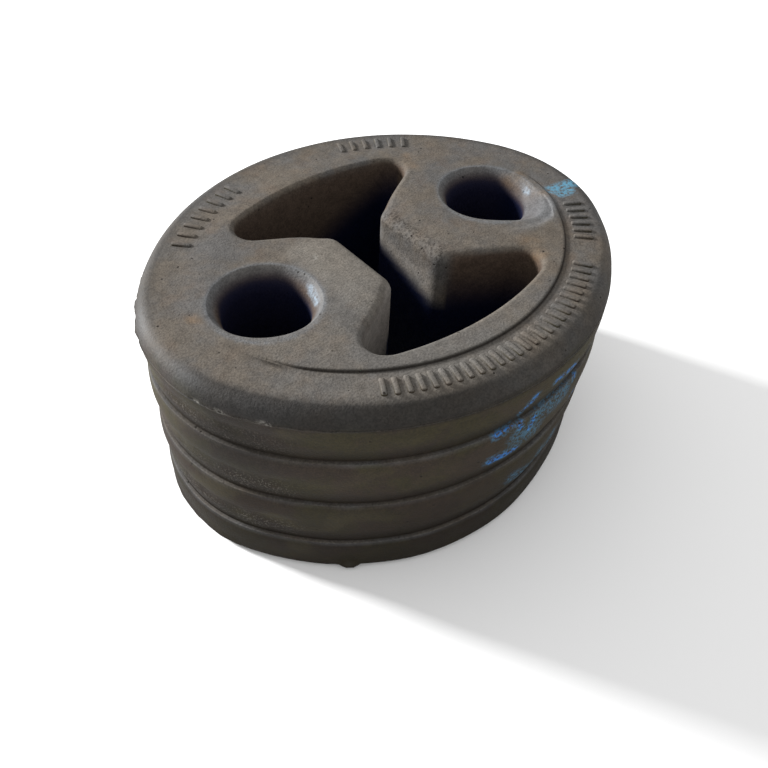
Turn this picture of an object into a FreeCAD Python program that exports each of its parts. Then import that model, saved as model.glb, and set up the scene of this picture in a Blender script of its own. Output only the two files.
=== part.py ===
import FreeCAD, Part
import math
import os
from FreeCAD import Vector

# Exhaust hanger rubber: one thick oval block of moulded rubber with two
# bores for the hanger rods. Two tongues carry the bores and reach from the
# narrow ends towards the middle. A window on each side of the tongues, and
# the slot between their tips, let them swing inside the outer ring.
# X runs along the length, Y across the width, Z up through the thickness.
# The origin is the middle of the underside. Millimetres.

# outline of tangent arcs
overall_length = 74.8
overall_width = 62.4
end_radius = 22.9
block_height = 34.4

# top rim, which stands a step inside the bands below the parting line
rim_height = 2.45
rim_radius = 2.2
rim_step = 0.25

# bottom rim, and the flat band round the raised pad of the top face
bottom_rim_bevel = 1.2
band_width = 7.5
pad_step = 0.35

# grooves between the side bands, spaced about half height
groove_count = 3
groove_pitch = 9.2
groove_width = 3.0
groove_depth = 0.8

# bores for the hanger rods
bore_diameter = 12.0
end_to_bore = 16.5
bore_mouth = 2.2

# windows and the tongues between them
side_wall = 12.4
window_arc_radius = 45.0
window_corner_radius = 3.0
tongue_gap = 8.4
tongue_tip_width = 13.4
tongue_flank_angle = 29.5
tongue_corner_radius = 2.6
window_mouth = 1.7

# how far a cutter stands clear of the block, and when two places are one
clear = 2.0
touch = 0.001

bore_offset = overall_length / 2 - end_to_bore
band_height = block_height - pad_step


def outline_wire(inset, z):
    """Closed oval outline that starts at the middle of the +X end."""
    a = overall_length / 2
    b = overall_width / 2
    side_radius = ((a - end_radius) ** 2 + b ** 2 - end_radius ** 2) / (2 * (b - end_radius))
    end_centre = a - end_radius
    side_centre = b - side_radius
    turn = math.atan2(-side_centre, end_centre)
    end_r = end_radius - inset
    side_top = b - inset

    def end_point(side, angle):
        return Vector(side * (end_centre + end_r * math.cos(angle)), end_r * math.sin(angle), z)

    arcs = [
        Part.Arc(end_point(1, 0), end_point(1, turn / 2), end_point(1, turn)),
        Part.Arc(end_point(1, turn), Vector(0, side_top, z), end_point(-1, turn)),
        Part.Arc(end_point(-1, turn), end_point(-1, turn / 2), end_point(-1, 0)),
        Part.Arc(end_point(-1, 0), end_point(-1, -turn / 2), end_point(-1, -turn)),
        Part.Arc(end_point(-1, -turn), Vector(0, -side_top, z), end_point(1, -turn)),
        Part.Arc(end_point(1, -turn), end_point(1, -turn / 2), end_point(1, 0)),
    ]
    return Part.Wire([arc.toShape() for arc in arcs])


def oval_block(inset, low, high):
    """Oval prism between two heights."""
    face = Part.Face(outline_wire(inset, low))
    return face.extrude(Vector(0, 0, high - low))


def ledged_groove(ledge, width, depth):
    """Cutter for a groove once round the side: a slope that runs in to a flat ledge."""
    wall = overall_length / 2
    section = Part.makePolygon([
        Vector(wall, 0, ledge + width),
        Vector(wall - depth, 0, ledge),
        Vector(wall + clear, 0, ledge),
        Vector(wall + clear, 0, ledge + width),
        Vector(wall, 0, ledge + width),
    ])
    return outline_wire(0, ledge).makePipeShell([section], True, True)


def edges_at(body, height, cutter=None):
    """Edges that lie level at one height, of the cutter's hole alone if one is given."""
    found = []
    for edge in body.Edges:
        box = edge.BoundBox
        if abs(box.ZMin - height) > touch or abs(box.ZMax - height) > touch:
            continue
        if cutter is None or edge.distToShape(cutter)[0] < touch:
            found.append(edge)
    return found


def side_body():
    """Oval block with its rims, pad and grooves."""
    parting = band_height - rim_height
    body = oval_block(0, 0, parting)
    body = body.makeChamfer(bottom_rim_bevel, edges_at(body, 0))
    rim = oval_block(rim_step, block_height / 2, band_height)
    rim = rim.makeFillet(rim_radius, edges_at(rim, band_height))
    body = body.fuse(rim)
    for count in range(groove_count):
        middle = block_height / 2 + (count - (groove_count - 1) / 2) * groove_pitch
        ledge = middle - groove_width / 2
        body = body.cut(ledged_groove(ledge, groove_width, groove_depth))
    pad = oval_block(band_width, block_height / 2, block_height)
    return body.fuse(pad).removeSplitter()


def window_wire():
    """Both windows and the slot between the tongue tips as one flat outline."""
    angle = math.radians(tongue_flank_angle)
    tip_x = tongue_gap / 2
    tip_y = tongue_tip_width / 2
    window_reach = overall_width / 2 - side_wall
    centre_y = window_reach - window_arc_radius
    rise = tip_y - centre_y
    half = tip_x * math.cos(angle) + rise * math.sin(angle)
    run = -half + math.sqrt(half ** 2 - tip_x ** 2 - rise ** 2 + window_arc_radius ** 2)
    far_x = tip_x + run * math.cos(angle)
    far_y = tip_y + run * math.sin(angle)
    edges = []
    for side in (1, -1):
        left_tip = Vector(-side * tip_x, side * tip_y, 0)
        left_far = Vector(-side * far_x, side * far_y, 0)
        top = Vector(0, side * window_reach, 0)
        right_far = Vector(side * far_x, side * far_y, 0)
        right_tip = Vector(side * tip_x, side * tip_y, 0)
        edges += [
            Part.makeLine(left_tip, left_far),
            Part.Arc(left_far, top, right_far).toShape(),
            Part.makeLine(right_far, right_tip),
            Part.makeLine(right_tip, Vector(side * tip_x, -side * tip_y, 0)),
        ]
    return Part.Wire(edges)


def upright_edges(prism, tips):
    """Upright corners of the window prism, at the tongue tips or at the far ends."""
    upright = [edge for edge in prism.Edges if edge.BoundBox.ZLength > touch]
    nearest = min(abs(edge.Vertexes[0].X) for edge in upright)
    farthest = max(abs(edge.Vertexes[0].X) for edge in upright)
    wanted = nearest if tips else farthest
    return [edge for edge in upright if abs(abs(edge.Vertexes[0].X) - wanted) < touch]


def window_cutter():
    """Prism of the opening with its upright corners rounded."""
    prism = Part.Face(window_wire()).extrude(Vector(0, 0, block_height))
    prism = prism.makeFillet(window_corner_radius, upright_edges(prism, False))
    return prism.makeFillet(tongue_corner_radius, upright_edges(prism, True))


def open_windows(body):
    """Cut the windows and their slot, rounded above and bevelled below."""
    windows = window_cutter()
    body = body.cut(windows)
    body = body.makeFillet(window_mouth, edges_at(body, block_height, windows))
    return body.makeChamfer(window_mouth, edges_at(body, 0, windows))


def open_bore(body, side):
    """Cut one bore, with a bevelled mouth at each face."""
    bore = Part.makeCylinder(bore_diameter / 2, block_height, Vector(side * bore_offset, 0, 0))
    body = body.cut(bore)
    rims = edges_at(body, block_height, bore) + edges_at(body, 0, bore)
    return body.makeChamfer(bore_mouth, rims)


def hanger_rubber():
    """The whole block with its windows and both bores."""
    body = open_windows(side_body())
    for side in (-1, 1):
        body = open_bore(body, side)
    return body


shape = hanger_rubber()
print("volume", round(shape.Volume), "valid", shape.isValid(), "solids", len(shape.Solids))
print("faces", len(shape.Faces), shape.BoundBox)
os.makedirs("parts", exist_ok=True)
shape.exportStep("parts/hanger_rubber.step")
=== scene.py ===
import math
from functools import partial
import bpy
import bmesh
from mathutils import Matrix, Vector, kdtree, noise


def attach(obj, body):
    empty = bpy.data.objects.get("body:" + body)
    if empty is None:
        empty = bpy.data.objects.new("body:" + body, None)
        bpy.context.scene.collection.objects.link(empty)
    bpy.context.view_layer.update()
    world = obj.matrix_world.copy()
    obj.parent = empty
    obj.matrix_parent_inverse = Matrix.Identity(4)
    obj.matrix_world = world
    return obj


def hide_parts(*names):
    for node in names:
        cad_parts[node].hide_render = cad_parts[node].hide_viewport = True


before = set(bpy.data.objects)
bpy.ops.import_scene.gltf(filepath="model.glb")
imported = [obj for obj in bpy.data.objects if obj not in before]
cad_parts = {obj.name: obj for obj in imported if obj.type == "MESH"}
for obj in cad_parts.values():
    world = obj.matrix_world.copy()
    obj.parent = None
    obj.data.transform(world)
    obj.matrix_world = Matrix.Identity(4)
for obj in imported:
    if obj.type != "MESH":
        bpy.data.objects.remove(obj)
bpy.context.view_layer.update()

mm = 0.001

# plan of the block in millimetres
plan = {
    "halfLength": 37.4,
    "halfWidth": 31.2,
    "endRadius": 22.9,
    "boreCentre": 20.9,
    "boreRadius": 6.0,
    "boreMouth": 1.8,
    "tipX": 4.2,
    "tipY": 6.7,
    "flankAngle": 29.5,
    "tipCorner": 2.6,
    "farCorner": 3.0,
    "windowReach": 19.8,
    "windowArc": 46.0,
    "windowMouth": 1.7,
    "spacing": 0.55,  # of the columns round every wall
    "cell": 0.9,  # longest edge on the top face
    "underCell": 3.0,
    "tightness": 0.01,  # how near two points have to be to count as one
    "sameSpot": 0.001,  # and how near for two vertices to be merged
    "margin": 0.001,  # the dressed block stays this far inside the solid's box
}

# section of the outer side, from the pad's edge over the rim and down the bands
side = {
    "top": 34.4,
    "band": 34.05,
    "padEdge": 7.5,
    "rimRadius": 2.35,
    "rimSteps": 10,
    "rimInset": 0.12,  # the rim stands this far inside the bands
    "partLine": 31.65,
    "grooves": ((28.5, 24.75), (19.3, 15.5), (10.1, 6.2)),  # top of the slope, ledge
    "grooveDepth": 0.85,
    "ledgeLip": 0.3,
    "bottomRound": 1.3,
}


def deselectAll():
    if bpy.context.mode != "OBJECT":
        bpy.ops.object.mode_set(mode="OBJECT")
    bpy.ops.object.select_all(action="DESELECT")


def drawSection(name, points):  # a line of edges, drawn point by point
    deselectAll()
    places = [Vector(point) * mm for point in points]
    bpy.ops.mesh.primitive_plane_add(size=mm, location=places[0])
    piece = bpy.context.active_object
    piece.name = name
    bpy.ops.object.transform_apply(location=True, rotation=True, scale=True)
    bpy.ops.object.mode_set(mode="EDIT")
    bpy.ops.mesh.select_all(action="SELECT")
    bpy.ops.mesh.merge(type="CENTER")
    for before, after in zip(places, places[1:]):
        bpy.ops.mesh.extrude_region_move(TRANSFORM_OT_translate={"value": after - before})
    bpy.ops.mesh.select_all(action="SELECT")
    return piece


def runStraight(x, y):  # the section goes on along a line
    move = Vector((x, y, 0)) * mm
    steps = max(1, round(move.length / (plan["spacing"] * mm)))
    for count in range(steps):
        bpy.ops.mesh.extrude_region_move(TRANSFORM_OT_translate={"value": move / steps})


def runRound(x, y, angle, radius):  # the section turns about an upright axis
    steps = max(4, round(abs(angle) * radius / plan["spacing"]))
    bpy.ops.mesh.spin(steps=steps, angle=-angle, center=(x * mm, y * mm, 0), axis=(0, 0, 1))


def grooveSection(top, ledge):  # slope, floor and lipped ledge of one groove
    depth = side["grooveDepth"]
    lip = side["ledgeLip"]
    fall = top - ledge
    slope = ((0.1, 0.1), (0.24, 0.24), (0.4, 0.38), (0.57, 0.52),
             (0.73, 0.66), (0.87, 0.79), (0.98, 0.91), (1.0, 0.97))
    points = [(depth * share, top - fall * drop) for share, drop in slope]
    return points + [(depth * 0.92, ledge + 0.02), (lip + 0.14, ledge), (lip + 0.03, ledge - 0.05)]


def bandSection(high, low, upperInset, lowerInset):  # a side band, a little crowned
    steps = 8
    points = []
    for count in range(1, steps):
        share = count / steps
        crown = math.sin(math.pi * share) ** 0.7
        edge = upperInset + (lowerInset - upperInset) * share
        points.append((edge * (1 - crown), high + (low - high) * share))
    return points


def sideSection():
    edge = side["padEdge"]
    top = side["top"]
    band = side["band"]
    rim = side["rimRadius"]
    points = [(edge + 0.4, top), (edge + 0.16, top - 0.015), (edge + 0.04, top - 0.1), (edge, top - 0.25)]
    points += [(edge - 0.05, band), (edge - 0.3, band - 0.03), (edge - 0.9, band)]
    points += [(edge - 1.7, band), (edge - 2.6, band), (edge - 3.5, band), (edge - 4.3, band)]
    inset = side["rimInset"]
    for count in range(side["rimSteps"] + 1):
        turn = math.pi / 2 * count / side["rimSteps"]
        points.append((inset + rim * (1 - math.sin(turn)), band - rim * (1 - math.cos(turn))))
    line = side["partLine"]
    points += [(inset + 0.03, line + 0.03), (inset + 0.06, line - 0.02)]
    points += [(0.1, line - 0.06), (0.03, line - 0.09), (0.01, line - 0.13)]
    upper, high = points[-1]
    for grooveTop, ledge in side["grooves"]:
        points += bandSection(high, grooveTop, upper, 0.1)
        points += grooveSection(grooveTop, ledge)
        high = ledge - 0.05
        upper = side["ledgeLip"]
    low = side["bottomRound"]
    points += bandSection(high, low, upper, 0.0) + [(0.0, low)]
    for count in range(1, 7):
        turn = math.pi / 2 * count / 6
        points.append((low * (1 - math.cos(turn)), low * (1 - math.sin(turn))))
    return points


def wallSection(reach):  # points down a wall, closer together near the top
    high = side["top"] - reach
    steps = 26
    return [(0, high - (high - reach) * (count / steps) ** 1.4) for count in range(1, steps)]


def mouthSection(reach):  # rounded mouth, wall, rounded mouth, as (distance into the rubber, height)
    top = side["top"]
    steps = 8
    turns = [math.pi / 2 * count / steps for count in range(steps + 1)]
    upper = [(reach * (1 - math.sin(turn)), top - reach * (1 - math.cos(turn))) for turn in turns]
    lower = [(reach * (1 - math.cos(turn)), reach * (1 - math.sin(turn))) for turn in turns]
    return upper + wallSection(reach) + lower


def bevelSection(reach):  # bevelled mouth of a bore, with a crease at its outer edge
    top = side["top"]
    slope = ((1, 0), (0.95, 0.02), (0.87, 0.08), (0.75, 0.2), (0.6, 0.38), (0.45, 0.58), (0.31, 0.8),
             (0.19, 1.04), (0.1, 1.3), (0.03, 1.6), (0, 1.9))
    upper = [(reach * share, top - reach * drop) for share, drop in slope]
    lower = [(place, top - height) for place, height in reversed(upper)]
    return upper + wallSection(reach * slope[-1][1]) + lower


def outlineFrame():  # centres and radii of the outline's arcs
    halfWidth = plan["halfWidth"]
    endRadius = plan["endRadius"]
    endCentre = plan["halfLength"] - endRadius
    sideRadius = (endCentre ** 2 + halfWidth ** 2 - endRadius ** 2) / (2 * (halfWidth - endRadius))
    return endCentre, endRadius, halfWidth - sideRadius, sideRadius


outline = outlineFrame()


def buildSide():  # a quarter of the outer side, swept round both of its arcs
    endCentre, endRadius, sideCentre, sideRadius = outline
    turn = math.atan2(-sideCentre, endCentre)
    section = [(plan["halfLength"] - inset, 0, z) for inset, z in sideSection()]
    piece = drawSection("sideQuarter", section)
    runRound(endCentre, 0, turn, endRadius)
    runRound(0, sideCentre, math.pi / 2 - turn, sideRadius)
    return piece


def buildWindow():  # a quarter of the wall round the slot and the windows
    angle = math.radians(plan["flankAngle"])
    along = Vector((math.cos(angle), math.sin(angle)))
    tip = Vector((plan["tipX"], plan["tipY"]))
    corner = plan["tipCorner"]
    tipCentre = Vector((tip.x + corner, 0))
    slide = corner * (1 - along.y) / along.x
    tipCentre.y = tip.y + slide * along.y - corner * along.x
    far = plan["farCorner"]
    arcCentre = Vector((0, plan["windowReach"] - plan["windowArc"]))
    start = tip + far * Vector((-along.y, along.x)) - arcCentre
    reach = plan["windowArc"] - far
    half = start.dot(along)
    farCentre = start + along * (-half + math.sqrt(half ** 2 - start.dot(start) + reach ** 2)) + arcCentre
    toFar = farCentre - arcCentre
    arcAngle = math.atan2(toFar.y, toFar.x)
    flank = (farCentre - tip).dot(along) - slide
    section = mouthSection(plan["windowMouth"])
    piece = drawSection("windowQuarter", [(tip.x + inset, 0, z) for inset, z in section])
    runStraight(0, tipCentre.y)
    runRound(tipCentre.x, tipCentre.y, angle - math.pi / 2, corner)
    runStraight(*(along * flank))
    runRound(farCentre.x, farCentre.y, arcAngle + math.pi / 2 - angle, far)
    runRound(arcCentre.x, arcCentre.y, math.pi / 2 - arcAngle, plan["windowArc"])
    return piece


def buildBore():  # half of a bore's wall
    centre = plan["boreCentre"]
    section = bevelSection(plan["boreMouth"])
    piece = drawSection("boreHalf", [(centre + plan["boreRadius"] + inset, 0, z) for inset, z in section])
    runRound(centre, 0, math.pi, plan["boreRadius"] + plan["boreMouth"])
    return piece


def pickVertices(test):  # in edit mode
    shape = bmesh.from_edit_mesh(bpy.context.edit_object.data)
    bpy.ops.mesh.select_all(action="DESELECT")
    for vertex in shape.verts:
        vertex.select_set(test(vertex))
    shape.select_flush_mode()
    bmesh.update_edit_mesh(bpy.context.edit_object.data)


def pickEdges(test):
    shape = bmesh.from_edit_mesh(bpy.context.edit_object.data)
    bpy.ops.mesh.select_all(action="DESELECT")
    found = 0
    for edge in shape.edges:
        if test(edge):
            edge.select_set(True)
            found += 1
    bmesh.update_edit_mesh(bpy.context.edit_object.data)
    return found


def tieEdges(first, last):  # a straight line of edges between two points
    near = plan["tightness"] * mm
    ends = [Vector(first) * mm, Vector(last) * mm]
    pickVertices(lambda vertex: any((vertex.co - end).length < near for end in ends))
    bpy.ops.mesh.edge_face_add()
    cuts = round((ends[0] - ends[1]).length / (plan["spacing"] * mm)) - 1
    if cuts > 0:
        bpy.ops.mesh.subdivide(number_cuts=cuts)


def fillLevel(z, cell):  # fills the flat face between the walls, then evens its cells
    near = plan["tightness"] * mm

    def level(vertex):
        return abs(vertex.co.z - z * mm) < near

    bpy.ops.mesh.select_mode(type="EDGE")
    pickEdges(lambda edge: len(edge.link_faces) < 2 and all(level(vertex) for vertex in edge.verts))
    bpy.ops.mesh.fill(use_beauty=True)
    for count in range(7):
        bpy.ops.mesh.select_mode(type="EDGE")
        longEdges = pickEdges(lambda edge: len(edge.link_faces) == 2 and edge.calc_length() > cell * mm
                              and all(level(vertex) for face in edge.link_faces for vertex in face.verts))
        if not longEdges:
            break
        bpy.ops.mesh.subdivide(number_cuts=1)
        bpy.ops.mesh.select_mode(type="VERT")
        pickVertices(level)
        bpy.ops.mesh.quads_convert_to_tris()
        bpy.ops.mesh.beautify_fill()
        pickVertices(lambda vertex: level(vertex) and not vertex.is_boundary
                     and all(level(other) for face in vertex.link_faces for other in face.verts))
        bpy.ops.mesh.vertices_smooth(factor=0.5, repeat=4)


def buildBlock():
    parts = [buildSide(), buildWindow(), buildBore()]
    deselectAll()
    for part in parts:
        part.select_set(True)
    block = parts[0]
    bpy.context.view_layer.objects.active = block
    bpy.ops.object.join()
    block.name = "rubberBlock"
    bpy.ops.object.mode_set(mode="EDIT")
    length = plan["halfLength"]
    width = plan["halfWidth"]
    boreNear = plan["boreCentre"] - plan["boreRadius"] - plan["boreMouth"]
    boreFar = plan["boreCentre"] + plan["boreRadius"] + plan["boreMouth"]
    slotEdge = plan["tipX"] + plan["windowMouth"]
    windowEdge = plan["windowReach"] + plan["windowMouth"]
    for z, rimInset, cell in ((side["top"], side["padEdge"] + 0.4, plan["cell"]),
                              (0, side["bottomRound"], plan["underCell"])):
        bpy.ops.mesh.select_mode(type="VERT")
        tieEdges((length - rimInset, 0, z), (boreFar, 0, z))
        tieEdges((boreNear, 0, z), (slotEdge, 0, z))
        tieEdges((0, windowEdge, z), (0, width - rimInset, z))
        fillLevel(z, cell)
    bpy.ops.object.mode_set(mode="OBJECT")
    mirror = block.modifiers.new("halves", "MIRROR")
    mirror.use_axis = (True, True, False)
    mirror.merge_threshold = plan["tightness"] * mm
    bpy.ops.object.modifier_apply(modifier=mirror.name)
    bpy.ops.object.mode_set(mode="EDIT")
    bpy.ops.mesh.select_all(action="SELECT")
    bpy.ops.mesh.remove_doubles(threshold=plan["sameSpot"] * mm)
    bpy.ops.mesh.normals_make_consistent(inside=False)
    bpy.ops.object.mode_set(mode="OBJECT")
    bpy.ops.object.shade_smooth_by_angle(angle=math.radians(40))
    print("block", len(block.data.vertices), "vertices", len(block.data.polygons), "faces")
    return block


def outlineInset(x, y):  # how far inside the outline a point is, and which way is out
    endCentre, endRadius, sideCentre, sideRadius = outline
    across = Vector((abs(x), abs(y)))
    if math.atan2(across.y - sideCentre, across.x) < math.atan2(-sideCentre, endCentre):
        centre, radius = Vector((endCentre, 0)), endRadius
    else:
        centre, radius = Vector((0, sideCentre)), sideRadius
    reach = across - centre
    out = reach.normalized()
    return radius - reach.length, Vector((math.copysign(out.x, x), math.copysign(out.y, y), 0))


def fromBore(x, y):  # from the middle of the bore on that side
    return Vector((x - math.copysign(plan["boreCentre"], x), y))


def arcReach(x, y):  # distance from the centre of the back window's far arc
    return Vector((x, y - plan["windowReach"] + plan["windowArc"])).length


def bearing(x, y):  # in degrees
    return math.degrees(math.atan2(y, x))


def smooth(low, high, value):  # 0 below low, 1 above high, an even rise between
    share = min(1, max(0, (value - low) / (high - low)))
    return share * share * (3 - 2 * share)


def bump(centre, width, value):  # 1 at the centre, falling away on both sides
    return math.exp(-((value - centre) / width) ** 2)


def softNoise(point, size, seed=0):  # -1 to 1, with features of that size in millimetres
    return noise.noise(Vector(point) / size + Vector((seed * 7.3, seed * 3.1, seed * 5.7)))


# what use and the mould have done to the shape, in millimetres and degrees;
# a pair says where a change starts and where it is complete, or the middle and width of one
wear = {
    "wobble": 0.1,
    "wobbleSize": 9.0,
    "leftEnd": (-24.0, -34.0),
    "endWidening": 0.4,  # the grooves reach further up and deeper there
    "wideningBand": (0.4, 1.2),  # from the grooves' tops
    "flashReach": 0.2,
    "flashNear": (0.1, 0.24),  # to the parting line and to the outline
    "flashFront": ((-20.0, -27.0), (-26.0, -18.0), (2.0, -4.0)),  # along X, then both ends along Y
    "flashBack": ((-26.0, -29.0), (2.0, 9.0), (20.0, 17.0)),
    "backShare": 1.9,
    "footTop": 1.6,
    "footReach": 0.3,
    "footPlace": ((-28.0, -33.0), (-12.0, -8.0)),
    "footHeight": (0.9, 0.5),
    "nubPlace": (-24.5, -22.6),
    "nubReach": 0.6,
    "nubWidth": 1.0,
    "frontSlope": 0.36,  # how steeply the rim hangs along the front
    "frontBearing": (-105.0, 42.0),
    "frontInset": 3.25,  # where it starts to hang
    "frontMost": 2.0,
    "frontHeight": (31.8, 33.5),
    "fadeStart": 10.4,  # the pad falls gently to the band at the left and the back
    "fadeEnd": 4.6,
    "stepAngles": ((-172.0, -150.0), (-2.0, -16.0)),  # the front, where the step stays
    "fadeHeight": (32.2, 33.6),
    "leanReach": 1.1,  # the foot stands in at the right front
    "leanBearing": (-64.0, 34.0),
    "leanHeight": (24.0, 2.0),
    "wornMouth": (-66.0, 38.0),
    "wornMouthReach": 1.6,
    "wornMouthInset": (8.1, 9.6),
    "wornMouthDish": 0.35,
    "mouthHeight": 3.4,
    "nearMouthPull": 0.75,  # the bores' mouths are narrower on the near side
    "nearMouth": (-120.0, 50.0),
    "tongueSoftening": 0.4,
    "tongueSoftWidth": 3.6,
    "tongueTip": (11.0, 5.5),  # the softening keeps to the tongues' ends
    "softHeight": (6.0, 1.7),  # below the top
    "ringMouth": 0.5,  # the ring's own edge is this share as round as the tongues'
    "ringSpan": (0.05, 2.6),
    "flankShare": 0.8,
    "flankEnds": (5.5, 9.0),
}


def wobbleShift(x, y, z, out):  # the outer side is never quite even
    shift = -out * wear["wobble"] * (0.5 + softNoise((x, y, z * 0.6), wear["wobbleSize"], 1))
    for grooveTop, ledge in side["grooves"]:
        ragged = 1 + 0.5 * softNoise((x, y, z), 2.5, 2)
        wide = bump(*wear["wideningBand"], z - grooveTop) * smooth(*wear["leftEnd"], x)
        shift -= out * wear["endWidening"] * ragged * wide
    return shift


def flashShare(zone, x, y):
    across, nearEnd, farEnd = zone
    return smooth(*across, x) * smooth(*nearEnd, y) * smooth(*farEnd, y)


def flashShift(x, y, z, inset, out):  # rubber that crept between the mould's halves
    shift = Vector((0, 0, 0))
    height, depth = wear["flashNear"]
    if abs(z - side["partLine"]) < height and inset < depth:
        front = flashShare(wear["flashFront"], x, y)
        back = wear["backShare"] * flashShare(wear["flashBack"], x, y)
        ragged = 0.5 + softNoise((x, y, 0), 1.5, 3) + 0.5 * softNoise((x, y, 0), 0.7, 4)
        shift += out * wear["flashReach"] * max(front, back) * max(0, ragged)
    if z < wear["footTop"]:
        ragged = 0.5 + 0.5 * softNoise((x, y, 0), 2.0, 5)
        left, front = wear["footPlace"]
        share = smooth(*left, x) * smooth(*front, y) * bump(*wear["footHeight"], z)
        shift += out * wear["footReach"] * share * ragged
    nub = (Vector((x, y)) - Vector(wear["nubPlace"])).length
    share = smooth(wear["nubWidth"] * 1.8, wear["nubWidth"] * 0.5, nub)
    return shift + out * wear["nubReach"] * share * smooth(2.0, 1.0, z)


def frontDrop(x, y, z, inset):  # along the front the rim starts to fall away further in
    along = bump(*wear["frontBearing"], bearing(x, y))
    reach = min(wear["frontMost"], max(0, wear["frontInset"] - inset))
    return wear["frontSlope"] * reach * along * smooth(*wear["frontHeight"], z)


def bandLift(x, y, z, inset):  # the pad's step fades out towards the left and the back
    if z < wear["fadeHeight"][0] or inset < wear["fadeEnd"] or inset > wear["fadeStart"]:
        return 0
    leftSide, rightSide = wear["stepAngles"]
    angle = bearing(x, y)
    front = smooth(*leftSide, angle) * smooth(*rightSide, angle)
    fall = (side["top"] - side["band"]) * smooth(wear["fadeStart"], wear["fadeEnd"], inset)
    start = z if inset < side["padEdge"] + 0.42 else side["top"]
    return (side["top"] - fall - start) * (1 - front) * smooth(*wear["fadeHeight"], z)


def leanShift(x, y, z, out):  # the foot stands in at the right front
    share = bump(*wear["leanBearing"], bearing(x, y))
    return -out * wear["leanReach"] * share * smooth(*wear["leanHeight"], z)


def mouthShift(bore, inset, z, right):  # the right bore's mouth is worn wide towards the front
    angle = bearing(*bore)
    worn = right * bump(*wear["wornMouth"], angle)
    worn *= smooth(*wear["wornMouthInset"], inset)
    near = bump(*wear["nearMouth"], angle) + bump(*wear["nearMouth"], angle - 360)
    span = bore.length - plan["boreRadius"]
    mouth = plan["boreMouth"]
    rise = smooth(0, mouth, span) * smooth(mouth + 6.0, mouth + 0.5, span)
    reach = wear["wornMouthReach"] * worn - wear["nearMouthPull"] * near
    shift = Vector((bore.x, bore.y, 0)).normalized() * reach * rise
    dish = smooth(mouth + 2.4, mouth + 1.6, span) * smooth(side["top"] - 2.4, side["top"] - 0.5, z)
    shift.z -= wear["wornMouthDish"] * worn * dish
    return shift


def edgeShift(x, y, z, near, distance):  # rounder edges on the tongues, sharper ones on the ring
    mouth = plan["windowMouth"]
    ring = 1 - smooth(*wear["ringSpan"], plan["windowArc"] - arcReach(near.x, abs(near.y)))
    shift = Vector((0, 0, 0))
    if distance < mouth + plan["tightness"] and z > side["top"] - mouth - plan["tightness"]:
        flank = wear["flankShare"] * smooth(*wear["flankEnds"], abs(x))
        share = 1 - (1 - wear["ringMouth"]) * max(ring, flank)
        shift = Vector((x - near.x, y - near.y, 0)) * (share - 1)
        shift.z = (side["top"] - z) * (1 - share)
    low, high = wear["softHeight"]
    share = 1 - smooth(mouth * 0.5, wear["tongueSoftWidth"] + 1.0, distance)
    share *= smooth(side["top"] - low, side["top"] - high, z)
    tip = 0.2 + 0.8 * smooth(*wear["tongueTip"], abs(x))
    shift.z -= wear["tongueSoftening"] * share * tip * (1 - ring)
    return shift


def windowWalls(block):  # search tree of the window walls' places, seen from above
    places = []
    for vertex in block.data.vertices:
        x, y, z = vertex.co / mm
        if 10 < z < 24 and outlineInset(x, y)[0] > 5 and fromBore(x, y).length > plan["boreRadius"] + 0.1:
            places.append((x, y, 0))
    tree = kdtree.KDTree(len(places))
    for count, place in enumerate(places):
        tree.insert(place, count)
    tree.balance()
    return tree


def keepInside(place):  # the dressed block stays inside the solid's box
    length = plan["halfLength"] - plan["margin"]
    width = plan["halfWidth"] - plan["margin"]
    place.x = min(length, max(-length, place.x))
    place.y = min(width, max(-width, place.y))
    place.z = min(side["top"] - plan["margin"], max(0, place.z))
    return place


def shapeBlock(block):
    top = side["top"]
    tree = windowWalls(block)
    for vertex in block.data.vertices:
        x, y, z = vertex.co / mm
        inset, out = outlineInset(x, y)
        bore = fromBore(x, y)
        shift = Vector((0, 0, 0))
        if inset < 3.5:
            shift += wobbleShift(x, y, z, out) + flashShift(x, y, z, inset, out) + leanShift(x, y, z, out)
            shift.z -= frontDrop(x, y, z, inset)
        shift.z += bandLift(x, y, z, inset)
        if 0.1 < bore.length < plan["boreRadius"] + 9 and z > top - wear["mouthHeight"]:
            shift += mouthShift(bore, inset, z, x > 0)
        if inset > 6 and z > top - wear["softHeight"][0] and bore.length > plan["boreRadius"] + 0.5:
            near, index, distance = tree.find((x, y, 0))
            if distance < wear["tongueSoftWidth"] + 2:
                shift += edgeShift(x, y, z, near, distance)
        vertex.co = keepInside(Vector((x, y, z)) + shift) * mm
    block.data.update()
    print("block shaped")


block = buildBlock()
shapeBlock(block)
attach(block, "root")
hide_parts("hanger_rubber")


# raised ticks on the band, as (first angle, last angle, how many), lengths in millimetres
ticks = {
    "runs": ((-131.0, -47.0, 27), (-34.0, -18.0, 6), (44.0, 66.0, 6), (112.0, 143.0, 8)),
    "inset": 4.75,  # of their middles
    "length": 2.9,
    "width": 0.8,
    "height": 0.62,
    "sunk": 0.3,
    "round": 0.26,
    "roundSteps": 3,
}


def bandPoint(angle, inset):  # the point at that angle and that far inside the outline
    direction = Vector((math.cos(math.radians(angle)), math.sin(math.radians(angle))))
    near, far = 5.0, 40.0
    for count in range(40):
        middle = (near + far) / 2
        if outlineInset(*(direction * middle))[0] > inset:
            near = middle
        else:
            far = middle
    return direction * near


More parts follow.
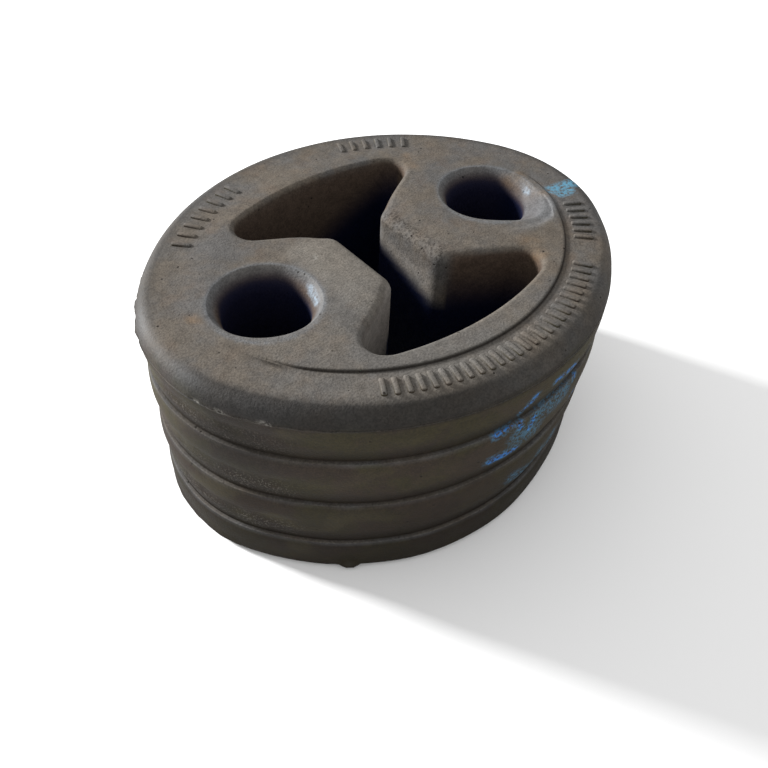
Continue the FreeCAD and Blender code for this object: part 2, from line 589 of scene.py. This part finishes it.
def buildTick():  # one rounded bar along X, made once
    deselectAll()
    bpy.ops.mesh.primitive_cube_add(size=mm)
    bar = bpy.context.active_object
    bar.scale = (ticks["length"], ticks["width"], ticks["height"])
    bpy.ops.object.transform_apply(location=True, rotation=True, scale=True)
    bpy.ops.object.mode_set(mode="EDIT")
    bpy.ops.mesh.select_mode(type="EDGE")
    pickEdges(lambda edge: max(vertex.co.z for vertex in edge.verts) > 0)
    bpy.ops.mesh.bevel(offset=ticks["round"] * mm, segments=ticks["roundSteps"], affect="EDGES")
    bpy.ops.object.mode_set(mode="OBJECT")
    bpy.ops.object.shade_smooth_by_angle(angle=math.radians(50))
    return bar


def buildTicks():
    bar = buildTick()
    copies = []
    for first, last, number in ticks["runs"]:
        for count in range(number):
            angle = first + (last - first) * count / (number - 1)
            place = bandPoint(angle, ticks["inset"])
            out = outlineInset(*place)[1]
            lift = bandLift(place.x, place.y, side["band"], ticks["inset"])
            height = side["band"] + lift - ticks["sunk"] + ticks["height"] / 2
            height = min(height, side["top"] - ticks["height"] / 2 - 0.02)
            deselectAll()
            bar.select_set(True)
            bpy.context.view_layer.objects.active = bar
            bpy.ops.object.duplicate(linked=False)
            copy = bpy.context.active_object
            copy.rotation_euler = (0, 0, math.atan2(out.y, out.x))
            copy.location = Vector((place.x, place.y, height)) * mm
            copies.append(copy)
    deselectAll()
    bar.select_set(True)
    bpy.ops.object.delete()
    for copy in copies:
        copy.select_set(True)
    bpy.context.view_layer.objects.active = copies[0]
    bpy.ops.object.transform_apply(location=True, rotation=True, scale=True)
    bpy.ops.object.join()
    copies[0].name = "moldTicks"
    print("ticks", len(copies))
    return copies[0]


raised = buildTicks()
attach(raised, "root")


# finish of the old rubber, with the colours of its painted shade, sheen and highlights: linear colours and
# sizes in millimetres
rubber = {
    "warm": (0.080, 0.068, 0.055, 1),
    "cool": (0.068, 0.065, 0.062, 1),
    "rusty": (0.080, 0.056, 0.038, 1),
    "flankBrown": (0.0285, 0.021, 0.016, 1),
    "flankOlive": (0.0285, 0.0243, 0.0130, 1),
    "flankKhaki": (0.045, 0.038, 0.022, 1),
    "wallBrown": (0.056, 0.040, 0.030, 1),
    # navy black of the painted shade in the bores and low in the windows
    "deepShade": (0.0009, 0.0026, 0.0160, 1),
    # dark colour of dirt and of painted shade
    "grimeAndShade": (0.009, 0.007, 0.005, 1),
    # dark colour of the painted shade on the rim's face
    "rimShade": (0.018, 0.017, 0.016, 1),
    # bluish white of painted highlights
    "paintedGlint": (0.20, 0.25, 0.30, 1),
    # bluish grey of rubbed wear and painted sheen
    "polishedSheen": (0.100, 0.106, 0.114, 1),
    "speck": (0.26, 0.24, 0.21, 1),
    "stain": (0.120, 0.076, 0.040, 1),
    "pale": (0.22, 0.21, 0.19, 1),
    "dustAndLight": (0.127, 0.116, 0.101, 1),
    "slotDustAndLight": (0.19, 0.175, 0.16, 1),
    "bluePaint": (0.028, 0.160, 0.46, 1),
    "blueEdge": (0.055, 0.180, 0.30, 1),
    "dabPaint": (0.075, 0.19, 0.27, 1),
    "grain": 3.4,
    "darkest": 0.66,
    "lightest": 1.34,
    "smoothest": 0.64,
    "roughest": 0.84,
    "polishSmooths": 0.3,
    "shineSmooths": 0.15,
    "specular": 0.1,
    "speckHeight": 0.8,
    "relief": 0.6,
    "reliefDepth": 0.0002,  # in metres
}

# marks on the surface, each as (start, end, half width) in millimetres
marks = {
    "blue": (
        ((3.4, -30.8, 29.0), (8.4, -30.1, 28.4), 0.55),
        ((-0.6, -31.0, 29.0), (-2.4, -31.0, 26.8), 0.5),
        ((-2.6, -31.0, 26.4), (-2.2, -31.0, 23.6), 0.55),
        ((0.4, -31.0, 24.0), (-0.4, -31.0, 22.0), 0.5),
        ((-6.6, -30.5, 24.5), (-3.8, -30.9, 24.9), 0.6),
        ((-6.4, -30.5, 19.1), (-2.4, -31.0, 18.7), 0.95),
        ((11.3, -29.4, 18.6), (12.3, -29.1, 19.4), 0.6),
        ((10.0, -29.8, 24.4), (10.6, -29.6, 25.6), 0.55),
    ),
    "haze": (
        ((1.7, -31.0, 23.6), (7.4, -30.4, 23.6), 1.6),
        ((9.0, -30.0, 12.0), (10.2, -29.7, 9.5), 1.2),
        ((-2.7, -31.0, 21.9), (1.0, -31.0, 20.6), 1.4),
        ((6.1, -30.6, 11.3), (7.6, -30.3, 10.4), 1.1),
        ((-0.9, -31.0, 11.0), (3.8, -30.9, 8.8), 1.1),
    ),
    "dab": (
        ((30.2, -5.2, 34.2), (34.6, -5.9, 33.9), 0.9),
        ((30.4, -7.0, 34.1), (32.6, -7.2, 34.1), 0.6),
    ),
    "pale": (
        ((-37.0, -2.9, 31.6), (-35.9, -7.8, 31.6), 0.12),
        ((-35.0, -10.0, 31.6), (-31.4, -15.6, 31.6), 0.13),
        ((-10.1, 3.4, 34.4), (-10.0, 3.5, 34.4), 0.3),
        ((-17.5, 7.3, 33.6), (-17.4, 7.3, 33.6), 0.3),
    ),
    # painted highlights on the bores' mouths
    "paintedGlint": (
        ((-14.0, -0.6, 33.3), (-15.2, -3.2, 33.4), 0.6),
        ((28.7, -0.8, 33.0), (27.7, -2.8, 33.2), 0.6),
    ),
    "stain": (
        ((27.4, 1.6, 33.8), (28.6, 0.6, 34.2), 1.3),
        ((28.6, -2.6, 34.3), (29.0, -5.2, 34.3), 1.3),
        ((-15.8, -1.2, 34.0), (-16.2, 0.2, 34.2), 0.9),
        ((16.4, -14.8, 34.2), (17.0, -13.2, 34.2), 1.4),
        ((16.8, 14.0, 34.2), (17.6, 15.2, 34.2), 1.5),
        ((3.2, 4.2, 33.9), (3.9, 6.4, 33.2), 0.9),
        ((-29.8, 2.8, 34.3), (-29.4, 1.8, 34.3), 1.0),
    ),
}


# textures of the rubber as (scale per millimetre, detail, roughness)
textures = {
    "middle": (0.8, 4.0, 0.6),
    "spots": (0.35, 1.0, 0.55),
    "patches": (0.11, 4.0, 0.6),
    "blotches": (0.3, 3.0, 0.5),
    "flecks": (1.7, 2.0, 0.6),
    "dirt": (2.4, 3.0, 0.7),
    "sand": (3.6, 1.0, 0.55),
    "broken": (2.2, 3.0, 0.7),
}

# where a value starts to count and where it counts in full
edges = {
    "pit": (0.15, 0.08),
    "pitSpots": (0.56, 0.64),
    "upward": (0.25, 0.97),
    "cool": (0.36, 0.64),
    "rusty": (0.5, 0.72),
    "olive": (0.42, 0.6),
    "stain": (0.3, 0.7),
    "tipDirt": (0.48, 0.6),
    "sand": (0.54, 0.66),
    "tone": (0.3, 0.7),
    "broken": (0.42, 0.58),
    "blue": (0.4, 0.9),
    "dab": (0.34, 0.56),
    "pale": (0.4, 0.55),
    "paintedGlint": (0.2, 0.8),
}

# how much each layer covers what lies under it
amounts = {
    "rusty": 0.28,
    "low": 0.72,
    "dustAndLight": 0.8,
    "polishAndSheen": 0.75,
    "stain": 0.5,
    "rimShade": 0.95,
    "grimeAndShade": 0.85,
    "tipDirt": 0.6,
    "sand": 0.28,
    "haze": 0.42,
    "blue": 0.9,
}


def addNode(tree, kind, **values):
    node = tree.nodes.new(kind)
    for name, value in values.items():
        setattr(node, name, value)
    return node


def connect(tree, socket, value):  # links the socket, or sets it
    if isinstance(value, bpy.types.NodeSocket):
        tree.links.new(value, socket)
    else:
        socket.default_value = value


def feed(tree, node, **sockets):
    for name, value in sockets.items():
        connect(tree, node.inputs[name.replace("_", " ")], value)
    return node


def mathNode(tree, operation, first, second):
    node = addNode(tree, "ShaderNodeMath", operation=operation)
    connect(tree, node.inputs[0], first)
    connect(tree, node.inputs[1], second)
    return node.outputs[0]


def ramp(tree, value, name):  # 0 to 1 as the value goes over the named edges
    low, high = edges[name]
    node = addNode(tree, "ShaderNodeMapRange", interpolation_type="SMOOTHSTEP")
    feed(tree, node, Value=value, From_Min=low, From_Max=high)
    return node.outputs[0]


def noiseNode(tree, place, scale, detail, roughness):
    node = addNode(tree, "ShaderNodeTexNoise")
    feed(tree, node, Vector=place, Scale=scale, Detail=detail, Roughness=roughness)
    return node.outputs["Fac"]


def mixColour(tree, amount, first, second):
    node = addNode(tree, "ShaderNodeMix", data_type="RGBA")
    connect(tree, node.inputs["Factor"], amount)
    connect(tree, node.inputs[6], first)
    connect(tree, node.inputs[7], second)
    return node.outputs[2]


def mixGrain(tree, fine, middle, fineShare, middleShare):
    fineHeight = mathNode(tree, "MULTIPLY", fine, fineShare)
    return mathNode(tree, "ADD", fineHeight, mathNode(tree, "MULTIPLY", middle, middleShare))


def makeGrainGroup():  # fine grain, mottling and pits of old moulded rubber
    tree = bpy.data.node_groups.new("rubberGrain", "ShaderNodeTree")
    tree.interface.new_socket("Place", in_out="INPUT", socket_type="NodeSocketVector")
    tree.interface.new_socket("Grain", in_out="INPUT", socket_type="NodeSocketFloat")
    for name in ("Height", "Tone", "Pits"):
        tree.interface.new_socket(name, in_out="OUTPUT", socket_type="NodeSocketFloat")
    start = addNode(tree, "NodeGroupInput")
    end = addNode(tree, "NodeGroupOutput")
    place = start.outputs["Place"]
    fine = noiseNode(tree, place, start.outputs["Grain"], 2.0, 0.7)
    middle = noiseNode(tree, place, *textures["middle"])
    cells = addNode(tree, "ShaderNodeTexVoronoi", feature="F1")
    feed(tree, cells, Vector=place, Scale=0.7, Randomness=1.0)
    spots = noiseNode(tree, place, *textures["spots"])
    small = ramp(tree, cells.outputs["Distance"], "pit")
    holes = mathNode(tree, "MULTIPLY", small, ramp(tree, spots, "pitSpots"))
    grainy = mixGrain(tree, fine, middle, 0.6, 0.5)
    height = mathNode(tree, "SUBTRACT", grainy, mathNode(tree, "MULTIPLY", holes, 0.6))
    tree.links.new(height, end.inputs["Height"])
    tree.links.new(mixGrain(tree, fine, middle, 0.6, 0.4), end.inputs["Tone"])
    tree.links.new(holes, end.inputs["Pits"])
    return tree


def readSpots(piece):  # where each vertex lies, in millimetres and degrees
    spots = []
    for vertex in piece.data.vertices:
        place = vertex.co / mm
        x, y, z = place
        inset, out = outlineInset(x, y)
        bore = fromBore(x, y)
        spots.append({
            "place": place, "x": x, "y": y, "z": z,
            "inset": inset, "out": out,
            "angle": bearing(x, y),
            "backTurn": abs(bearing(x, y) - 75.0),
            "bore": bore.length - plan["boreRadius"],
            "boreAngle": bearing(*bore),
            "pastTipX": abs(x) - plan["tipX"],
            "pastTipY": abs(y) - plan["tipY"],
        })
    return spots


# where the surface changes, in millimetres and degrees: a rise starts and is full somewhere, a
# band has a middle and a width, and uneven a base, swing, size, seed and height share
zones = {
    "wall": {"rises": (("inset", 6.0, 6.5), ("z", 34.3, 33.2))},
    "tongueEnd": {"rises": (("pastTipX", 3.0, 1.0), ("pastTipY", 2.0, 0.0))},
    # painted light on the walls round the left of the front window
    "litFlank": {"share": 0.75, "rises": (("x", -4.0, -5.0), ("y", -5.0, -6.0), ("bore", 1.0, 3.0))},
    "inner": {"rises": (("inset", 4.0, 5.0),)},
    "boreBack": {"rises": (("boreAngle", -5.0, 35.0), ("boreAngle", 165.0, 125.0))},
    "rim": {
        "rises": (("z", 31.2, 32.2),),
        "bands": (("inset", 0.9, 1.1),),
        "uneven": ((0.55, 0.6, 7.0, 8, 0),),
    },
    "rimLeft": {"least": 0.2, "share": 0.8, "rises": (("x", -20.0, -34.0), ("y", 14.0, 4.0))},
    "mouth": {"share": 0.6, "rises": (("z", 32.2, 33.6),), "bands": (("bore", 1.3, 0.8),)},
    "ridge": {
        "rises": (("z", 33.2, 33.8),),
        "bands": (("bore", 1.85, 0.3),),
        "uneven": ((0.9, 0.3, 2.5, 17, 0),),
    },
    "wornMouth": {"share": 0.85, "rises": (("bore", 5.6, 4.2),), "bands": (("boreAngle", -60.0, 42.0),)},
    "lip": {"share": 0.6, "uneven": ((0.5, 0.5, 4.0, 11, 1),)},
    "partLine": {"bands": (("z", 31.6, 0.2),)},
    "backLeft": {"least": 0.25, "share": 0.7, "rises": (("x", -28.0, -32.0), ("y", 1.0, 5.0))},
    "padFoot": {
        "rises": (("angle", -178.0, -165.0), ("angle", 8.0, -8.0)),
        "bands": (("inset", 7.45, 0.14),),
    },
    "leftSand": {"rises": (("x", -27.0, -33.0),), "uneven": ((0.5, 0.8, 3.0, 9, 1),)},
    "rimFace": {"rises": (("inset", 2.9, 2.1), ("z", 31.3, 31.9))},
    "rimFront": {"rises": (("angle", -178.0, -166.0), ("angle", -34.0, -66.0))},
    "rimFrontLeft": {"least": 0.4675, "share": 0.3825, "rises": (("x", 2.0, -14.0),)},
    "rimBack": {"share": 0.62, "rises": (("backTurn", 105.0, 85.0),)},
    "leftShadow": {
        "share": 0.55,
        "rises": (("z", 13.0, 22.0), ("inset", 3.0, 2.0)),
        "bands": (("angle", -163.0, 14.0),),
    },
    "khakiLeft": {"least": 0.3, "share": 0.7, "rises": (("x", -12.0, -33.0),)},
    "khakiLow": {"least": 0.45, "share": 0.55, "rises": (("z", 20.0, 9.0),)},
    "khakiRight": {"share": 0.4, "rises": (("x", -14.0, 2.0), ("y", 0.0, -10.0), ("z", 4.0, 16.0))},
    "low": {"rises": (("z", 24.0, 2.0), ("inset", 4.0, 2.0))},
    "tongueDustAndLight": {"rises": (("x", -15.0, -11.0), ("x", -1.0, -4.0), ("y", 9.0, 6.0), ("y", -16.0, -12.0))},
    "frontDustAndLight": {"share": 0.45, "rises": (("y", 12.0, -14.0), ("x", 24.0, -8.0))},
    "rightDustAndLight": {"least": 0.3, "share": 0.7, "rises": (("x", -32.0, -14.0),)},
    "dustPatches": {"uneven": ((0.9, 0.4, 9.0, 14, 0),)},
    "tip": {"rises": (("pastTipX", 2.2, 0.8), ("pastTipY", 1.2, 0.0), ("z", 34.3, 33.4))},
    "slotDustAndLight": {
        "rises": (("x", -3.4, -5.0), ("y", -6.0, -6.8), ("y", -15.0, -12.0),
                  ("inset", 6.0, 7.0), ("bore", 1.0, 3.0), ("z", 34.0, 32.6)),
    },
    "tipFoot": {
        "share": 0.35,
        "rises": (("x", 3.6, 4.4), ("x", 8.0, 6.0), ("pastTipY", 1.3, -0.7), ("z", 31.2, 28.6)),
    },
    "tipDirt": {"rises": (("x", 3.6, 4.4), ("x", 7.0, 5.6), ("pastTipY", 0.8, -0.7), ("z", 31.8, 32.8))},
}


def within(name, spot):  # how much of the zone's mark a spot gets
    zone = zones[name]
    share = zone.get("share", 1)
    for axis, start, full in zone.get("rises", ()):
        share *= smooth(start, full, spot[axis])
    for axis, middle, width in zone.get("bands", ()):
        share *= bump(middle, width, spot[axis])
    for base, swing, size, seed, height in zone.get("uneven", ()):
        share *= base + swing * softNoise((spot["x"], spot["y"], spot["z"] * height), size, seed)
    return zone.get("least", 0) + share


# heights of the line below which walls are painted with shade, each with its spread, and how the line
# climbs
deepShade = {
    "bores": (32.9, 30.6),
    "boreLift": (1.2, 1.6),  # at the back of the bores
    "boreFade": 0.08,
    "boreEdge": 1.5,
    "tip": (26.7, 1.3),
    "tipClimb": 0.3,  # along Y
    "tipSpace": (1.4, 1.0),  # along X and Y
    "frontLeft": (21.0, 3.5),
    "frontEnd": 4.5,
    "back": (20.2, 4.0),
    "backClimb": 0.66,  # along X
    "backSpace": 1.5,
    "elsewhere": (27.0, 4.5),
}


def deepShadeLine(spot):  # height and spread of the line below which a wall is painted dark as shade
    x, y, z = spot["place"]
    spaceX, spaceY = deepShade["tipSpace"]
    if spot["pastTipX"] < spaceX and spot["pastTipY"] < spaceY:
        line, spread = deepShade["tip"]
        return line + deepShade["tipClimb"] * y, spread
    if x < 0 and deepShade["frontEnd"] - plan["windowReach"] < y < 0:
        return deepShade["frontLeft"]
    if y > 0 and arcReach(x, y) > plan["windowArc"] - deepShade["backSpace"]:
        line, spread = deepShade["back"]
        return line + deepShade["backClimb"] * x, spread
    return deepShade["elsewhere"]


def wallRule(spot):  # brown walls, but not on the tongues' ends, and lighter round the left of the front window as painted light
    return within("wall", spot) * (1 - within("tongueEnd", spot)) * (1 - within("litFlank", spot))


def deepShadeRule(spot):  # painted shade: dark bores and lower walls
    z = spot["z"]
    if spot["bore"] < deepShade["boreEdge"] and z > 2:
        back = within("boreBack", spot)
        high, low = deepShade["bores"]
        highLift, lowLift = deepShade["boreLift"]
        dark = smooth(high + highLift * back, low + lowLift * back, z)
        return dark * (1 - deepShade["boreFade"] * back)
    line, spread = deepShadeLine(spot)
    return within("wall", spot) * smooth(line + spread, line - spread, z)


# marks that follow each groove, in millimetres from its ledge or its top; the grooves hold dirt and painted
# shade
groove = {
    "lip": (-0.1, 0.12),  # middle and width, from the ledge
    "dirt": 0.8,
    "darkTop": 0.6,
    "darkFull": 0.9,
    "darkFoot": (-0.02, 0.06),
    "sandFoot": (0.3, 1.2),
    "sandTop": (1.2, -0.6),
}


def rise(level, pair, z):  # 0 to 1 between two heights given from a level
    return smooth(level + pair[0], level + pair[1], z)


def polishAndSheenRule(spot):  # rims and mouths that hands and rods have rubbed, with a painted sheen and highlights on rims, mouths, bore ridges and groove lips
    z = spot["z"]
    worn = 0
    if spot["x"] > 0 and z > 32:
        worn = within("wornMouth", spot)
    lip = 0
    if spot["inset"] < 3:
        middle, width = groove["lip"]
        lip = max(bump(ledge + middle, width, z) for top, ledge in side["grooves"])
        lip *= within("lip", spot)
    rim = within("rim", spot) * within("rimLeft", spot)
    return max(rim, within("mouth", spot), within("ridge", spot), worn, lip)


def grimeAndShadeRule(spot):  # dirt and painted shade held by grooves, and a painted shadow at the foot of the pad along the front
    z = spot["z"]
    held = 0
    if spot["inset"] < 3:
        for top, ledge in side["grooves"]:
            under = smooth(top + groove["darkTop"], ledge + groove["darkFull"], z)
            held = max(held, groove["dirt"] * under * rise(ledge, groove["darkFoot"], z))
        held = max(held, within("backLeft", spot) * within("partLine", spot))
    if z > 33.5:
        held = max(held, within("padFoot", spot))
    return held


def sandRule(spot):  # rough zones at the left end, on each groove's slope
    if spot["inset"] > 3 or spot["x"] > -20:
        return 0
    rough = 0
    for top, ledge in side["grooves"]:
        foot = rise(ledge, groove["sandFoot"], spot["z"])
        rough = max(rough, foot * rise(top, groove["sandTop"], spot["z"]))
    return rough * within("leftSand", spot)


def rimShadeRule(spot):  # painted shade on the rim's face, darkest along the front, and painted shadow on a zone at the left
    front = within("rimFront", spot)
    shade = (1 - front) * within("rimBack", spot) + front * within("rimFrontLeft", spot)
    return max(within("rimFace", spot) * shade, within("leftShadow", spot))


def khakiRule(spot):  # lighter, yellower patches low on the outer side
    if spot["inset"] > 3 or spot["z"] > 31:
        return 0
    x, y, z = spot["place"]
    patch = smooth(0.05, 0.45, softNoise((x * 0.7, y * 0.7, z * 1.3), 4.2, 12))
    return max(patch * within("khakiLeft", spot) * within("khakiLow", spot), within("khakiRight", spot))


def dustAndLightRule(spot):  # dust with painted light: paler towards the front and the left tongue
    if spot["inset"] < 2 or spot["z"] < 33:
        return 0
    front = within("frontDustAndLight", spot) * within("rightDustAndLight", spot)
    return max(within("tongueDustAndLight", spot), front) * within("dustPatches", spot)


def slotDustAndLightRule(spot):  # dust with painted light beside the front window's left end and at the right tongue's foot
    return max(within("slotDustAndLight", spot), within("tipFoot", spot))


def markRule(strokes, spot):  # soft strokes of paint, rust or scuffing, and painted highlights
    most = 0
    place = spot["place"]
    if spot["inset"] < 4:
        place = place - leanShift(*place, spot["out"])
    for start, end, half in strokes:
        run = Vector(end) - Vector(start)
        share = min(1, max(0, (place - Vector(start)).dot(run) / run.length_squared))
        distance = (Vector(start) + run * share - place).length
        most = max(most, smooth(half * 1.7, half * 0.4, distance))
    return most


def makeRubber():
    material = bpy.data.materials.new("agedRubber")
    material.use_nodes = True
    tree = material.node_tree
    shader = tree.nodes["Principled BSDF"]
    coords = addNode(tree, "ShaderNodeTexCoord")
    scaled = addNode(tree, "ShaderNodeVectorMath", operation="SCALE")
    feed(tree, scaled, Vector=coords.outputs["Object"], Scale=1 / mm)
    place = scaled.outputs[0]
    grain = addNode(tree, "ShaderNodeGroup", node_tree=makeGrainGroup())
    feed(tree, grain, Place=place, Grain=rubber["grain"])

    def mask(name):
        return addNode(tree, "ShaderNodeAttribute", attribute_name=name).outputs["Fac"]

    def times(first, second):
        return mathNode(tree, "MULTIPLY", first, second)

    def texture(name):
        return noiseNode(tree, place, *textures[name])

    def cover(colour, amount, name):  # lays one of the rubber's colours over another
        return mixColour(tree, amount, colour, rubber[name])

    facing = addNode(tree, "ShaderNodeSeparateXYZ")
    tree.links.new(coords.outputs["Normal"], facing.inputs[0])
    upward = ramp(tree, facing.outputs["Z"], "upward")
    patches = texture("patches")
    blotches = texture("blotches")
    flecks = texture("flecks")
    topColour = mixColour(tree, ramp(tree, patches, "cool"), rubber["warm"], rubber["cool"])
    topColour = cover(topColour, times(ramp(tree, blotches, "rusty"), amounts["rusty"]), "rusty")
    sideColour = mixColour(tree, ramp(tree, patches, "olive"), rubber["flankBrown"], rubber["flankOlive"])
    sideColour = cover(sideColour, mask("khaki"), "flankKhaki")
    # the outer side is darker towards the bottom
    sideColour = cover(sideColour, times(mask("low"), amounts["low"]), "grimeAndShade")
    # dust and painted light on the top
    topColour = cover(topColour, times(mask("dustAndLight"), amounts["dustAndLight"]), "dustAndLight")
    # faces turned up take the dustier top colour, and the sides a darker colour that is partly painted
    # shade
    colour = mixColour(tree, mathNode(tree, "MAXIMUM", upward, mask("inner")), sideColour, topColour)
    colour = cover(colour, mask("wall"), "wallBrown")
    colour = mixColour(tree, mask("tip"), colour, topColour)
    # dust and painted light in the slot
    colour = cover(colour, mask("slotDustAndLight"), "slotDustAndLight")
    # rubbed wear with a painted sheen and highlights
    colour = cover(colour, times(mask("polishAndSheen"), amounts["polishAndSheen"]), "polishedSheen")
    stained = times(times(mask("stain"), amounts["stain"]), ramp(tree, blotches, "stain"))
    colour = cover(colour, stained, "stain")
    # painted shade on the rim's face
    colour = cover(colour, times(mask("rimShade"), amounts["rimShade"]), "rimShade")
    # dirt and painted shade in the grooves, and a painted shadow at the pad's foot
    colour = cover(colour, times(mask("grimeAndShade"), amounts["grimeAndShade"]), "grimeAndShade")
    tipDirt = times(mask("tipDirt"), ramp(tree, texture("dirt"), "tipDirt"))
    colour = cover(colour, times(tipDirt, amounts["tipDirt"]), "grimeAndShade")
    specks = times(mask("sand"), ramp(tree, texture("sand"), "sand"))
    colour = cover(colour, times(specks, amounts["sand"]), "speck")
    tone = ramp(tree, grain.outputs["Tone"], "tone")
    shade = addNode(tree, "ShaderNodeMapRange")
    feed(tree, shade, Value=tone, To_Min=rubber["darkest"], To_Max=rubber["lightest"])
    shaded = addNode(tree, "ShaderNodeVectorMath", operation="SCALE")
    feed(tree, shaded, Vector=colour, Scale=shade.outputs[0])
    colour = cover(shaded.outputs[0], grain.outputs["Pits"], "grimeAndShade")
    broken = ramp(tree, texture("broken"), "broken")
    colour = cover(colour, times(times(mask("haze"), broken), amounts["haze"]), "blueEdge")
    paint = mixColour(tree, ramp(tree, mask("blue"), "blue"), rubber["blueEdge"], rubber["bluePaint"])
    colour = mixColour(tree, times(times(mask("blue"), broken), amounts["blue"]), colour, paint)
    colour = cover(colour, times(mask("dab"), ramp(tree, flecks, "dab")), "dabPaint")
    colour = cover(colour, times(mask("pale"), ramp(tree, flecks, "pale")), "pale")
    # painted shade in the bores and low on the window walls
    colour = cover(colour, mask("deepShade"), "deepShade")
    # painted highlights on the bores' mouths
    colour = cover(colour, times(mask("paintedGlint"), ramp(tree, flecks, "paintedGlint")), "paintedGlint")
    tree.links.new(colour, shader.inputs["Base Color"])
    rough = addNode(tree, "ShaderNodeMapRange")
    feed(tree, rough, Value=tone, To_Min=rubber["smoothest"], To_Max=rubber["roughest"])
    rubbed = mathNode(tree, "SUBTRACT", rough.outputs[0], times(mask("polishAndSheen"), rubber["polishSmooths"]))
    rubbed = mathNode(tree, "SUBTRACT", rubbed, times(mask("paintedGlint"), rubber["shineSmooths"]))
    tree.links.new(rubbed, shader.inputs["Roughness"])
    shader.inputs["Specular IOR Level"].default_value = rubber["specular"]
    height = mathNode(tree, "ADD", grain.outputs["Height"], times(specks, rubber["speckHeight"]))
    relief = addNode(tree, "ShaderNodeBump")
    feed(tree, relief, Height=height, Strength=rubber["relief"], Distance=rubber["reliefDepth"])
    tree.links.new(relief.outputs[0], shader.inputs["Normal"])
    return material


def dress(piece, material):
    rules = {"wall": wallRule, "deepShade": deepShadeRule, "polishAndSheen": polishAndSheenRule, "grimeAndShade": grimeAndShadeRule, "sand": sandRule,
             "khaki": khakiRule, "dustAndLight": dustAndLightRule, "slotDustAndLight": slotDustAndLightRule, "rimShade": rimShadeRule}
    for name in ("low", "tip", "tipDirt", "inner"):
        rules[name] = partial(within, name)
    for name, strokes in marks.items():
        rules[name] = partial(markRule, strokes)
    spots = readSpots(piece)
    for name, rule in rules.items():  # one value for each vertex
        layer = piece.data.attributes.new(name, "FLOAT", "POINT")
        layer.data.foreach_set("value", [float(rule(spot)) for spot in spots])
    piece.data.materials.clear()
    piece.data.materials.append(material)
    print(piece.name, "dressed")


agedRubber = makeRubber()
dress(block, agedRubber)
dress(raised, agedRubber)

# camera at the photograph's viewing angle
view = {
    "azimuth": -42.46,
    "elevation": 47.18,
    "roll": 3.11,
    "distance": 92.13,
    "target": (-18.2, -21.09, 34.4),
    "focal": 769.38,  # in pixels of a frame that many pixels wide
    "frame": 768,
    "sensor": 36.0,
}


def placeCamera():
    azimuth = math.radians(view["azimuth"])
    elevation = math.radians(view["elevation"])
    roll = math.radians(view["roll"])
    back = Vector((math.sin(azimuth) * math.cos(elevation), -math.cos(azimuth) * math.cos(elevation),
                   math.sin(elevation)))
    level = Vector((math.cos(azimuth), math.sin(azimuth), 0))
    right = math.cos(roll) * level + math.sin(roll) * back.cross(level)
    data = bpy.data.cameras.new("camera")
    data.sensor_width = view["sensor"]
    data.lens = view["sensor"] * view["focal"] / view["frame"]
    data.clip_start = 0.005
    camera = bpy.data.objects.new("camera", data)
    bpy.context.scene.collection.objects.link(camera)
    camera.location = (Vector(view["target"]) + view["distance"] * back) * mm
    camera.rotation_euler = Matrix((right, back.cross(right), back)).transposed().to_euler()
    bpy.context.scene.camera = camera


placeCamera()

# soft sky, a low lamp behind on the left, and a pale floor
studio = {
    "sky": 0.95,
    "lampPlace": (-0.52, 1.04, 0.43),  # in metres
    "lampSize": 0.2,
    "lampWatts": 44.0,
    "floorSize": 6.0,
    "floorColour": (0.86, 0.86, 0.86, 1),
    "floorRoughness": 0.9,
    "floorSpecular": 0.1,
}


def buildStudio():
    scene = bpy.context.scene
    scene.view_settings.view_transform = "Standard"
    world = bpy.data.worlds.new("studio")
    scene.world = world
    world.use_nodes = True
    background = world.node_tree.nodes["Background"]
    background.inputs["Color"].default_value = (1, 1, 1, 1)
    background.inputs["Strength"].default_value = studio["sky"]
    lamp = bpy.data.lights.new("softbox", "AREA")
    lamp.energy = studio["lampWatts"]
    lamp.size = studio["lampSize"]
    holder = bpy.data.objects.new("softbox", lamp)
    scene.collection.objects.link(holder)
    holder.location = studio["lampPlace"]
    holder.rotation_euler = Vector(studio["lampPlace"]).to_track_quat("Z", "Y").to_euler()
    deselectAll()
    bpy.ops.mesh.primitive_plane_add(size=studio["floorSize"], location=(0, 0, 0))
    floor = bpy.context.active_object
    floor.name = "floor"
    paper = bpy.data.materials.new("paleFloor")
    paper.use_nodes = True
    shader = paper.node_tree.nodes["Principled BSDF"]
    shader.inputs["Base Color"].default_value = studio["floorColour"]
    shader.inputs["Roughness"].default_value = studio["floorRoughness"]
    shader.inputs["Specular IOR Level"].default_value = studio["floorSpecular"]
    floor.data.materials.append(paper)
    print("studio lit")


buildStudio()
